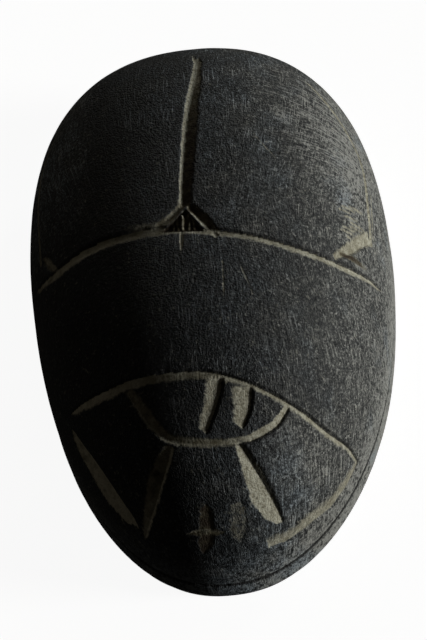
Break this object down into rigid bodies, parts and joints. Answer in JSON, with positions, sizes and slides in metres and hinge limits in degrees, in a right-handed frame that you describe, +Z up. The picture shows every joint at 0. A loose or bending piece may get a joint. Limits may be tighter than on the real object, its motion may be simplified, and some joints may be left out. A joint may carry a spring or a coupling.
{
  "type": "scarab amulet",
  "caption": "Egg-shaped domed stone beetle with cut lines for wing cases, collar and face, and a flat underside; it lies loose on a surface.",
  "frame": {"origin": "middle of the flat underside: the bottom centre of the bounding box", "axes": "+Z up out of the back; +Y along the length towards the tail, so the head points to -Y; +X to the right when looking from the head towards the tail from above"},
  "size_m": [0.0374, 0.06, 0.0227],
  "materials": {
    "stone": "black worn stone, fine grained and dull, with pale grey-beige dust in the cut lines"
  },
  "bodies": {
    "root": {"scarab": "stone"}
  },
  "joints": []
}
